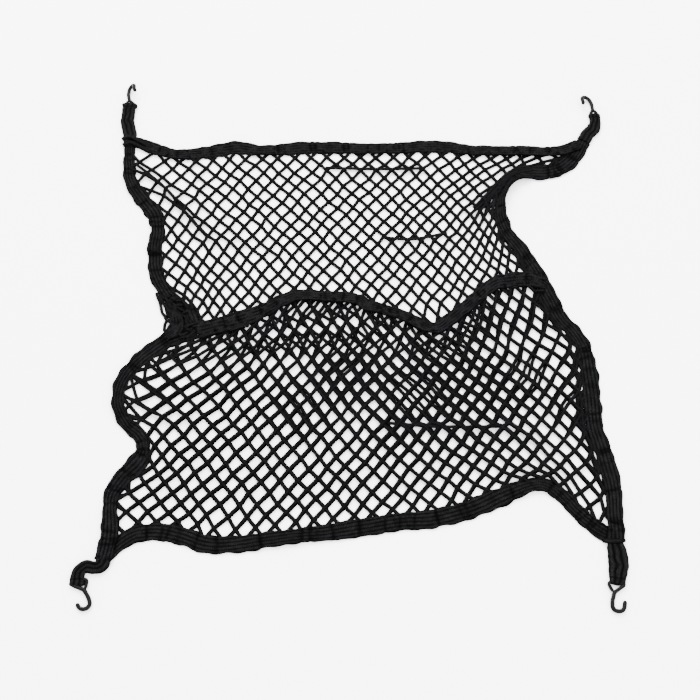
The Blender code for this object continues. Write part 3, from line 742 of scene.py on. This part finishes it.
def border(line, ties):
    """The border knots along a line, spaced evenly between its ties."""
    length = run_lengths(line)
    ties = np.array(ties, float)
    away = np.linalg.norm(line[None] - ties[:, None, 1:], axis=2)
    held = length[np.argmin(away, axis=1)]
    wanted = np.interp(np.arange(ties[-1, 0] + 1), ties[:, 0], held)
    return np.column_stack([np.interp(wanted, length, column) for column in line.T])


def settled_knots(top, bottom, left, right):
    """Knots [i, j] of a slack net between four borders.

    Each inner knot goes again and again to the mean of its four diagonal neighbours.
    """
    u = np.linspace(0, 1, len(top))[:, None, None]
    v = np.linspace(0, 1, len(left))[None, :, None]
    knots = ((1 - u) * left[None] + u * right[None] + (1 - v) * top[:, None]
             + v * bottom[:, None]
             - (1 - v) * ((1 - u) * top[0] + u * top[-1])
             - v * ((1 - u) * bottom[0] + u * bottom[-1]))
    knots[:, 0], knots[:, -1], knots[0], knots[-1] = top, bottom, left, right
    for _ in range(RELAX_ROUNDS):
        knots[1:-1, 1:-1] = (knots[:-2, :-2] + knots[2:, :-2] + knots[:-2, 2:]
                             + knots[2:, 2:]) / 4
    return knots


def cleared(knots, left, right):
    """Knots of the outer columns that come too near a side border are moved inside."""
    for column in range(1, GUARDED + 1):
        keep_inside(knots[column, 1:-1], left, 1, KNOT_ROOM * column)
        keep_inside(knots[-1 - column, 1:-1], right, -1, KNOT_ROOM * column)
    return knots


def slack_net(upper, top_ties, left_ties, right_ties, gathers, seed):
    """A net's knots in the plane below the line upper, and how far each is lifted."""
    left = border(band_side("left", 1), left_ties)
    right = border(band_side("right", -1), right_ties)
    knots = settled_knots(border(upper, top_ties), border(band_side("bottom", 1), BOTTOM_TIES),
                          left, right)
    knots = cleared(knots, left, right)
    keep_inside(knots[-1, 1:-1], right, -1, EDGE_ROOM)
    knots = np.concatenate([knots, right[None]])
    knots, lift = gathered(knots, gathers)
    return wobble(knots, seed), lift


def drawn_under(back, pocket):
    """Back knots below the pocket, laid under its strands but for SIDEWAYS and DRIFTS.

    The follow share rises from 0 to 1 over the rows next below the pocket's mouth.
    """
    first = BACK_DEEP - POCKET_DEEP
    aside = np.zeros(pocket.shape) + SIDEWAYS
    for x, y, dx, dy, reach in DRIFTS:
        bell = np.exp(-np.sum((pocket - (x, y)) ** 2, axis=-1) / reach ** 2)
        aside += bell[..., None] * (dx, dy)
    rows = np.arange(POCKET_DEEP + 1)
    follow = np.clip((rows - 1) / FOLLOW_ROWS, 0, 1)[None, :, None]
    under = (1 - follow) * back[:, first:] + follow * (pocket + aside)
    inner = (slice(1, -1), slice(0, -1))
    back[:, first:][inner] = under[inner]
    return back


def keep_inside(knots, side_border, side, room):
    """Move knots that are nearer than room to a side border, or beyond it, inside it."""
    away = knots[:, None] - side_border[None]
    nearest = np.argmin(np.linalg.norm(away, axis=-1), axis=1)
    along = unit(np.gradient(side_border, axis=0))[nearest]
    inward = np.column_stack([-along[:, 1], along[:, 0]]) * side
    depth = np.sum((knots - side_border[nearest]) * inward, axis=1)
    knots += inward * np.maximum(room - depth, 0)[:, None]


def gathered(knots, gathers):
    """Knots drawn to the gathers, and how far each is lifted.

    A knot at distance d from a gather's line keeps 1 - pull * exp(-(d / reach)^2) of it,
    and rises by rise times the same bell curve. Border knots stay.
    """
    inner = np.zeros(knots.shape[:2])
    inner[1:-1, 1:-1] = 1
    lift = np.zeros(knots.shape[:2])
    for x0, y0, x1, y1, pull, reach, rise in gathers:
        start = np.array([x0, y0])
        line = np.array([x1, y1]) - start
        part = np.clip((knots - start) @ line / (line @ line), 0, 1)
        away = knots - start - part[..., None] * line
        bell = np.exp(-np.sum(away ** 2, axis=-1) / reach ** 2)
        knots = knots - away * (pull * bell * inner)[..., None]
        lift = np.maximum(lift, rise * bell)
    return knots, lift


def wobble(knots, seed):
    """Uneven meshes: slow waves across the net and a small seeded shift of each knot."""
    x, y = knots[..., 0], knots[..., 1]
    slow = np.stack([np.sin(x / 10 + y / 16), np.sin(y / 12 - x / 17)], axis=-1)
    jitter = np.random.default_rng(seed).normal(size=knots.shape)
    shift = SLOW_SHIFT * slow + KNOT_SHIFT * jitter
    shift[0], shift[-1], shift[:, 0], shift[:, -1] = 0, 0, 0, 0
    return knots + shift


def strand_paths(knots):
    """Every strand's knots: the diagonals of the grid both ways, border to border."""
    wide, deep = knots.shape[0] - 1, knots.shape[1] - 1
    starts = [(i, 0) for i in range(0, wide + 1, 2)]
    right_way = starts + [(0, j) for j in range(2, deep, 2)]
    left_way = starts + [(wide, j) for j in range(2 - wide % 2, deep, 2)]
    paths = []
    for way, begun in ((1, right_way), (-1, left_way)):
        for i, j in begun:
            steps = min(wide - i if way > 0 else i, deep - j)
            if steps > 0:
                k = np.arange(steps + 1)
                paths.append((way, knots[i + way * k, j + k]))
    return paths


def strand_line(knots, steps, way, weave):
    """A strand's middle line: half straight from knot to knot, half rounded.

    At every other knot it passes over the crossing strand, and between them under it.
    """
    count = len(knots)
    over = weave * way * (-1.0) ** np.arange(count)
    knots = knots + np.column_stack([0 * over, 0 * over, over])
    rows = np.vstack([2 * knots[0] - knots[1], knots, 2 * knots[-1] - knots[-2]])
    a, b, c, d = (rows[k:count - 1 + k, None] for k in range(4))
    t = np.linspace(0, 1, steps, endpoint=False)[None, :, None]
    straight = b + (c - b) * t
    line = (rounded(a, b, c, d, t) + straight) / 2
    return np.vstack([line.reshape(-1, 3), knots[-1:]])


def knot_beads(centres, width, height):
    """Small flattened beads where strands are knitted together.

    Each is the surface (cos p cos q, cos p sin q, sin p) times its half sizes, p in five
    steps from end to end and q in six around; each end is closed by two quads.
    """
    p = np.radians([-75, -38, 0, 38, 75])[:, None]
    q = np.radians(np.arange(0, 360, 60))[None, :]
    shape = np.stack([np.cos(p) * np.cos(q) * width / 2, np.cos(p) * np.sin(q) * width / 2,
                      np.sin(p) * height / 2 + 0 * q], axis=-1).reshape(-1, 3)
    points = (centres[:, None] + shape[None]).reshape(-1, 3)
    ring = (np.arange(4)[:, None] * 6 + np.arange(6)[None]).ravel()
    nxt = (np.arange(4)[:, None] * 6 + (np.arange(6)[None] + 1) % 6).ravel()
    quads = np.vstack([np.stack([ring, nxt, nxt + 6, ring + 6], axis=-1),
                       [(3, 2, 1, 0), (5, 4, 3, 0), (24, 25, 26, 27), (24, 27, 28, 29)]])
    faces = (quads[None] + (np.arange(len(centres)) * len(shape))[:, None, None])
    return points, knit_places(points[:, 0], points[:, 1], 1.0), faces.reshape(-1, 4)


def net_piece(name, node, knots, cord, sides, steps, material):
    """A net of oval strands and the beads that join them."""
    grids, knits = tube_grids([(strand_line(path, steps, way, cord * WEAVE), cord)
                               for way, path in strand_paths(knots)], sides)
    i, j = np.indices(knots.shape[:2])
    real = ((i + j) % 2 == 0) & (i > 0) & (j > 0)
    real &= (i < knots.shape[0] - 1) & (j < knots.shape[1] - 1)
    beads = knot_beads(knots[real], cord * BEAD_WIDE, cord * CORD_FLAT * BEAD_HIGH)
    return mesh_piece(name, grids, knits, node, material, [beads])


def tangled_loops():
    """Short bent strands strewn over each row of TANGLES, as paths of five points.

    A point is the middle of its heap plus (u wide, v deep), turned; u and v start at a
    seeded place on the unit disc and move on by seeded steps, and their ends sink.
    """
    random = np.random.default_rng(5)
    loops = []
    for x, y, wide, deep, height, turn, count in TANGLES:
        cos, sin = math.cos(math.radians(turn)), math.sin(math.radians(turn))
        for _ in range(count):
            steps = random.normal(0, LOOP_BEND, (5, 2)) + random.normal(0, LOOP_RUN, 2)
            u, v = np.clip(random.uniform(-0.7, 0.7, 2) + np.cumsum(steps, axis=0), -1, 1).T
            across, along = u * wide, v * deep
            z = height + LOOP_ARCH + random.uniform(-0.5, 0.5)
            loops.append(np.column_stack([x + across * cos - along * sin,
                                          y + across * sin + along * cos, z]))
    return loops


# ------------------------------------------------------------------ straps and hooks
def strap_grid(table):
    """A folded strap: an oval section with lengthwise folds, closed by a round roll.

    At angle q the section is (width / 2 * cos, height / 2 * sin), each to the power 0.6
    with its sign kept. On the upper half the folds are the root of the sine of the fold
    count times s, and between them the cloth dips by the share pinch of the height.
    """
    rows, length = smooth_rows(table, STRAP_STEP)
    q = 2 * np.pi * (np.arange(STRAP_POINTS) + 0.5)[None, :] / STRAP_POINTS
    cos, sin = np.cos(q), np.sin(q)
    s = np.sign(cos) * np.abs(cos) ** STRAP_SQUARE
    h = np.sign(sin) * np.abs(sin) ** STRAP_SQUARE
    v = length[:, None]
    half_wide, half_high = rows[:, 2:3] / 2 + EDGE_FUZZ / 2, rows[:, 3:4] / 2
    pinch = np.clip(2.2 * rows[:, 4:5], 0, 0.7)
    bend = 0.12 * np.sin(v / 7) + 0.1 * np.sin(v / 2.7)
    folds = np.abs(np.sin(np.pi * (STRAP_FOLDS * (s + 1) / 2 + bend * (1 - s * s)))) ** 0.6
    from_end = length[-1] - v
    roll = quarter_circle(from_end / ROLL_REACH, 0.02)
    root = quarter_circle(v / ROOT_REACH, 0.1)
    seam = np.exp(-((from_end - SEAM_AT) / SEAM_REACH) ** 2)
    dip = np.where(h > 0, pinch * (1 - folds), 0)
    rise = h * (1 - dip) * roll * root * (1 - 0.3 * seam)
    puckers = 0.35 * np.sin(v / 1.9 + 2 * s) * np.sin(v / 6.3)
    bulge = 1 + 0.07 * np.exp(-((from_end - BULGE_AT) / BULGE_REACH) ** 2)
    kept = (ROLL_WIDTH + (1 - ROLL_WIDTH) * roll) * bulge
    across = s * (half_wide + puckers * np.abs(s) ** 4) * kept
    # painted light: a painted highlight on the tops of the folds, painted shade between them, on the
    # underside and at the seam
    painted_light = np.where(h > 0, folds, 0.4) * (1 - 0.35 * seam)
    grid = level_grid(rows, across, half_high * (1 + rise))
    return grid, knit_places(across, v, painted_light)


def wire_line(corners, step):
    """A line through corners (x, y, radius), each corner replaced by an arc.

    The arc's middle lies radius / cos(turn / 2) from the corner, between its two sides.
    """
    points = [np.array(corners[0][:2], float)]
    for before, here, after in zip(corners, corners[1:], corners[2:]):
        corner = np.array(here[:2], float)
        back = unit(np.array(before[:2]) - corner)
        ahead = unit(np.array(after[:2]) - corner)
        turn = math.pi - math.acos(np.clip(back @ ahead, -1, 1))
        middle = corner + unit(back + ahead) * here[2] / math.cos(turn / 2)
        start = corner + back * here[2] * math.tan(turn / 2) - middle
        side = 1 if back[0] * ahead[1] - back[1] * ahead[0] < 0 else -1
        swing = side * np.linspace(0, turn, max(3, int(turn / step)))
        arc = np.column_stack([start[0] * np.cos(swing) - start[1] * np.sin(swing),
                               start[0] * np.sin(swing) + start[1] * np.cos(swing)])
        points += list(middle + arc)
    points.append(np.array(corners[-1][:2], float))
    return np.array(points)


def hook_path(place):
    """The hook's middle line in its strap: flat but for a twist of the stem."""
    x, y, heading, side, twist, bar, shorter = place
    corners = [(cx * (bar if cy < BAR_END else 1), cy, radius) for cx, cy, radius in HOOK_WIRE]
    flat, length = even_rows(wire_line(corners, 0.12), 0.6)
    flat = flat[length >= shorter]
    ahead = np.array([math.cos(math.radians(heading)), math.sin(math.radians(heading)), 0])
    left = np.array([-ahead[1], ahead[0], 0]) * side
    turned = math.radians(twist) * np.clip((flat[:, 1] - TWIST_FROM)
                                           / (TWIST_TO - TWIST_FROM), 0, 1)
    arm = flat[:, 0] - STEM_X
    across = STEM_X + arm * np.cos(turned)
    z = (HOOK_BAR_HEIGHT - HOOK_DROP * flat[:, 1] / flat[:, 1].max()
         + arm * np.sin(turned))
    return (np.array([x, y, 0.0]) + flat[:, 1:2] * ahead + across[:, None] * left
            + z[:, None] * np.array([0, 0, 1.0]))


# ---------------------------------------------------------------- sizes and operators
class CargoNetSizes(PropertyGroup):
    """Sizes that a user may change."""

    band_thickness: FloatProperty(
        name="Band thickness", description="Knitted elastic between its cords",
        default=0.0024, min=0.001, max=0.005, unit="LENGTH")
    rib_height: FloatProperty(
        name="Rib height", description="Height of a band's lengthwise cords",
        default=0.0008, min=0.0, max=0.002, unit="LENGTH")
    cord: FloatProperty(
        name="Cord", description="Width of both nets' strands",
        default=0.0047, min=0.001, max=0.006, unit="LENGTH")
    wire: FloatProperty(
        name="Wire", description="Thickness of the coated hook wire",
        default=0.0052, min=0.002, max=0.006, unit="LENGTH")


class CargoNetColours(PropertyGroup):
    """Colours that a user may change."""

    band: FloatVectorProperty(
        name="Bands", description="Yarn of the bands and straps", subtype="COLOR",
        size=3, default=(0.0013, 0.0013, 0.0014), min=0, max=1)
    cord: FloatVectorProperty(
        name="Cords", description="Yarn of both nets", subtype="COLOR",
        size=3, default=(0.0010, 0.0010, 0.0011), min=0, max=1)
    wire: FloatVectorProperty(
        name="Wire", description="Coating of the hooks", subtype="COLOR",
        size=3, default=(0.0020, 0.0020, 0.0022), min=0, max=1)
    floor: FloatVectorProperty(
        name="Floor", description="Pale floor under the net", subtype="COLOR",
        size=3, default=(0.9, 0.9, 0.9), min=0, max=1)


class CARGONET_OT_bands(Operator):
    """Knit the four frame bands and the mouth band"""

    bl_idname = "cargonet.bands"
    bl_label = "Bands"

    def execute(self, context):
        sizes, colours = context.scene.cargonet_sizes, context.scene.cargonet_colours
        material = knit_material("ribbed elastic", colours.band,
                                 lift=6.5, wale=3.4, course=1.9, depth=0.0008)
        for seed, (name, table) in enumerate(BANDS.items()):
            grid, knit = band_grid(table, sizes.band_thickness / MM, sizes.rib_height / MM,
                                   SEWN_RISES[name], seed)
            piece = mesh_piece(name + "_elastic", [grid], [knit], name + "_band", material)
        return {"FINISHED"}


class CARGONET_OT_corner(Operator):
    """Gather the pocket's corner and its loose strands under the left band's fold"""

    bl_idname = "cargonet.corner"
    bl_label = "Gathered corner"

    def execute(self, context):
        sizes, colours = context.scene.cargonet_sizes, context.scene.cargonet_colours
        material = knit_material("gathered corner", colours.band,
                                 lift=6.5, wale=2.6, course=1.9, depth=0.0010)
        grid, knit = band_grid(GATHERED_CORNER, sizes.band_thickness / MM * 1.6,
                               sizes.rib_height / MM, 1.0, 11)
        piece = mesh_piece("gathered_corner", [grid], [knit], None, material)
        cord = sizes.cord / MM
        strands = [(np.array(strand, float), cord * LOOSE_WIDE) for strand in LOOSE_STRANDS]
        strands += [(np.array(strand, float), WRAP_WIDE) for strand in WRAPS]
        strands += [(loop, cord * LOOP_WIDE) for loop in tangled_loops()]
        grids, knits = tube_grids([(smooth_rows(strand, LOOSE_STEP)[0], wide)
                                   for strand, wide in strands], LOOSE_SIDES)
        piece = mesh_piece("loose_strands", grids, knits, None, material)
        return {"FINISHED"}


class CARGONET_OT_nets(Operator):
    """Knit the back net and the pocket net that lies on its lower half"""

    bl_idname = "cargonet.nets"
    bl_label = "Nets"

    def execute(self, context):
        sizes, colours = context.scene.cargonet_sizes, context.scene.cargonet_colours
        cord = sizes.cord / MM
        material = knit_material("fine cord", colours.cord,
                                 lift=5.0, wale=2.0, course=1.6, depth=0.0004)
        back, back_lift = slack_net(band_side("top", -1), TOP_TIES, BACK_LEFT_TIES,
                                    BACK_RIGHT_TIES, BACK_GATHERS, 4)
        pocket, pocket_lift = slack_net(band_side("mouth", -1), MOUTH_TIES,
                                        POCKET_LEFT_TIES, POCKET_RIGHT_TIES,
                                        POCKET_GATHERS, 9)
        back = drawn_under(back, pocket)
        back_lift[:, BACK_DEEP - POCKET_DEEP:] = pocket_lift
        knots = np.dstack([back, back_lift + cord * BACK_HEIGHT])
        piece = net_piece("back_mesh", "back_net", knots, cord, 8, 3, material)

        i, j = np.indices(pocket.shape[:2])
        inside = np.minimum(np.minimum(i, WIDE - i), POCKET_DEEP - j)
        slope = np.clip(inside / RISE_ROWS, 0, 1)
        height = POCKET_HEIGHT + POCKET_RISE * slope * slope * (3 - 2 * slope)
        knots = np.dstack([pocket, height + pocket_lift])
        piece = net_piece("pocket_mesh", "front_net", knots, cord, 10, 4, material)
        return {"FINISHED"}


class CARGONET_OT_straps(Operator):
    """Fold the four corner straps"""

    bl_idname = "cargonet.straps"
    bl_label = "Corner straps"

    def execute(self, context):
        colours = context.scene.cargonet_colours
        material = knit_material("strap elastic", colours.band,
                                 lift=7.5, wale=3.4, course=1.8, depth=0.0008)
        for corner, table in STRAPS.items():
            grid, knit = strap_grid(table)
            piece = mesh_piece("fold_" + corner, [grid], [knit], "strap_" + corner, material)
        return {"FINISHED"}


class CARGONET_OT_hooks(Operator):
    """Bend the four wire hooks"""

    bl_idname = "cargonet.hooks"
    bl_label = "Wire hooks"

    def execute(self, context):
        sizes, colours = context.scene.cargonet_sizes, context.scene.cargonet_colours
        wire = sizes.wire / MM
        material = wire_material(colours.wire)
        for corner, place in HOOKS.items():
            path = hook_path(place)
            length = run_lengths(path)
            thinner = WIRE_SHARE - WIRE_THINS * np.tanh((length - THIN_AT) / THIN_REACH)
            thick = wire * thinner * rounded_end(length, wire / 2)
            grid, knit = tube_grid(path, thick, thick, WIRE_SIDES)
            piece = mesh_piece("wire_" + corner, [grid], [knit], "hook_" + corner, material)
        return {"FINISHED"}


class CARGONET_OT_stage(Operator):
    """Set the pale floor, the soft lights and the camera"""

    bl_idname = "cargonet.stage"
    bl_label = "Stage"

    def execute(self, context):
        scene = context.scene
        mesh = bpy.data.meshes.new("floor")
        corners = [(x * FLOOR_HALF, y * FLOOR_HALF, FLOOR_LEVEL)
                   for x, y in ((-1, -1), (1, -1), (1, 1), (-1, 1))]
        mesh.from_pydata(corners, [], [(0, 1, 2, 3)])
        material, _, shader = new_material("pale floor")
        shader.inputs["Base Color"].default_value = (*scene.cargonet_colours.floor, 1)
        shader.inputs["Roughness"].default_value = 0.9
        mesh.materials.append(material)
        floor = bpy.data.objects.new("floor", mesh)
        scene.collection.objects.link(floor)

        world = bpy.data.worlds.new("soft room")
        world.use_nodes = True
        world.node_tree.nodes["Background"].inputs["Color"].default_value = (1, 1, 1, 1)
        world.node_tree.nodes["Background"].inputs["Strength"].default_value = ROOM_LIGHT
        scene.world = world
        for name, place, size, power in LIGHTS:
            lamp = bpy.data.lights.new(name, "AREA")
            lamp.size = size
            lamp.energy = power
            holder = bpy.data.objects.new(name, lamp)
            holder.location = place
            holder.rotation_euler = (-Vector(place)).to_track_quat("-Z", "Y").to_euler()
            scene.collection.objects.link(holder)

        lens = bpy.data.cameras.new("camera")
        lens.lens = LENS
        camera = bpy.data.objects.new("camera", lens)
        away = Vector((0, -math.cos(CAMERA_ABOVE), math.sin(CAMERA_ABOVE))) * CAMERA_AWAY
        camera.location = TARGET + away
        camera.rotation_euler = (-away).to_track_quat("-Z", "Y").to_euler()
        scene.collection.objects.link(camera)
        scene.camera = camera
        return {"FINISHED"}


class CARGONET_PT_panel(Panel):
    """The net's sizes, colours and pieces"""

    bl_label = "Cargo Net"
    bl_space_type = "VIEW_3D"
    bl_region_type = "UI"
    bl_category = "Cargo Net"

    def draw(self, context):
        sizes, colours = context.scene.cargonet_sizes, context.scene.cargonet_colours
        column = self.layout.column()
        for name in ("band_thickness", "rib_height", "cord", "wire"):
            column.prop(sizes, name)
        for name in ("band", "cord", "wire", "floor"):
            column.prop(colours, name)
        for operator in OPERATORS:
            column.operator(operator.bl_idname)


OPERATORS = (CARGONET_OT_bands, CARGONET_OT_corner, CARGONET_OT_nets, CARGONET_OT_straps,
             CARGONET_OT_hooks, CARGONET_OT_stage)
CLASSES = (CargoNetSizes, CargoNetColours, *OPERATORS, CARGONET_PT_panel)


def register():
    for each in CLASSES:
        bpy.utils.register_class(each)
    Scene.cargonet_sizes = PointerProperty(type=CargoNetSizes)
    Scene.cargonet_colours = PointerProperty(type=CargoNetColours)


def unregister():
    del Scene.cargonet_colours
    del Scene.cargonet_sizes
    for each in reversed(CLASSES):
        bpy.utils.unregister_class(each)


def main():
    """Make every piece and the stage."""
    register()
    bpy.ops.cargonet.bands()
    bpy.ops.cargonet.corner()
    bpy.ops.cargonet.nets()
    bpy.ops.cargonet.straps()
    bpy.ops.cargonet.hooks()
    bpy.ops.cargonet.stage()


if __name__ == "__main__":
    main()
